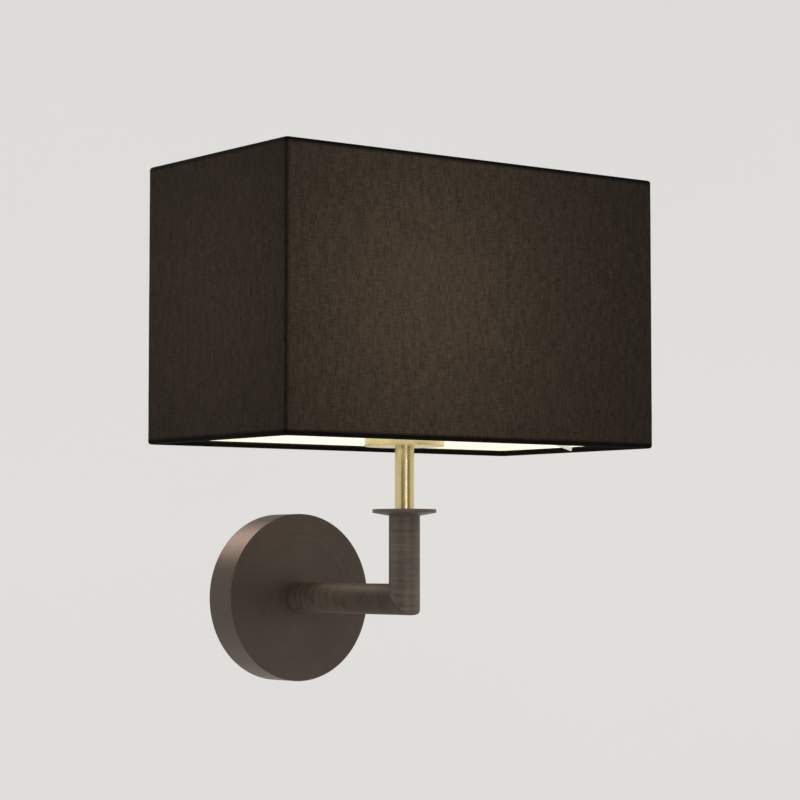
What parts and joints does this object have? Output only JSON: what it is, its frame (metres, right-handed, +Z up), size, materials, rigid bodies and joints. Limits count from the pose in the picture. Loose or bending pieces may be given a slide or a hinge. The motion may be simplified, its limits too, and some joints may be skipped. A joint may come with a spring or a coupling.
{
  "type": "fabric shade wall light",
  "caption": "Wall light: round bronze backplate, level arm with a mitred upturn, brass stem and cup, and a large rectangular dark fabric shade that turns on its lamp holder.",
  "frame": {"origin": "centre of the round backplate on the wall plane, which is also the centre of the two wall screw slots", "axes": "+X to the right as one faces the wall, +Y into the wall, +Z up"},
  "size_m": [0.285, 0.213, 0.3224],
  "materials": {
    "bronze": "brushed antique bronze, clear lacquer",
    "satin_brass": "satin brushed brass, lacquered",
    "brass": "plain machined brass",
    "zinc_steel": "zinc plated",
    "nylon": "moulded nylon",
    "holder_plastic": "black moulded phenolic",
    "holder_ceramic": "unglazed steatite",
    "ring_plastic": "black moulded phenolic",
    "lead_brown": "silicone insulation, brown",
    "lead_blue": "silicone insulation, blue",
    "lead_green": "silicone insulation, green and yellow",
    "solder": "tinned",
    "black_glass": "black glass-like",
    "nickel": "nickel plated",
    "bulb_plastic": "white moulded polycarbonate",
    "board": "white solder mask on aluminium",
    "opal": "opal diffuser, satin",
    "white_wire": "white powder coat",
    "linen": "dark brown linen weave",
    "lining": "white translucent film"
  },
  "bodies": {
    "root": {"wall_bracket": "zinc_steel", "backplate_cover": "bronze", "cover_screws": "bronze", "terminal_block": "nylon", "terminal_inserts": "brass", "terminal_screws": "zinc_steel", "terminal_fixing_screw": "zinc_steel", "earth_washer": "brass", "earth_screw": "brass", "arm_nipple": "zinc_steel", "arm_fixing_nut": "zinc_steel", "arm_fixing_washer": "zinc_steel", "arm_tube": "bronze", "arm_end_plug": "brass", "upright_tube": "bronze", "upright_end_plug": "brass", "upright_flange": "bronze", "stem_sleeve": "satin_brass", "holder_cup": "satin_brass", "holder_nut": "zinc_steel", "stem_rod": "zinc_steel", "holder_base": "holder_plastic", "holder_body": "holder_plastic", "holder_insert": "holder_ceramic", "centre_contact": "brass", "side_contact": "brass", "holder_terminal_screws": "zinc_steel", "holder_screw_shell": "brass", "live_lead": "lead_brown", "neutral_lead": "lead_blue", "earth_lead": "lead_green"},
    "lamp_foot": {"bulb_contact": "solder", "bulb_insulator": "black_glass"},
    "lamp": {"bulb_cap": "nickel", "bulb_collar": "bulb_plastic", "bulb_light_board": "board", "bulb_globe": "opal"},
    "ring": {"shade_ring": "ring_plastic"},
    "shade": {"shade_carrier": "white_wire", "bottom_wire": "white_wire", "top_wire": "white_wire", "shade_fabric": "linen", "shade_lining": "lining"}
  },
  "joints": [
    {"name": "shade_swivel", "type": "hinge", "parent": "root", "child": "shade", "pos_m": [0, -0.138, 0.125], "axis": [0, 0, 1], "range_deg": [-30, 30]},
    {"name": "ring_turn", "type": "hinge", "parent": "root", "child": "ring", "pos_m": [0, -0.138, 0.1265], "axis": [0, 0, 1], "range_deg": [0, 1080]},
    {"name": "lamp_lift", "type": "slide", "parent": "root", "child": "lamp_foot", "axis": [0, 0, 1], "range_m": [0, 0.0181]},
    {"name": "lamp_turn", "type": "hinge", "parent": "lamp_foot", "child": "lamp", "pos_m": [0, -0.138, 0.1245], "axis": [0, 0, 1], "range_deg": [0, 1800]}
  ],
  "couplings": [
    {"joint": "lamp_lift", "follows": "lamp_turn", "m_per_rad": 0.00057614}
  ]
}
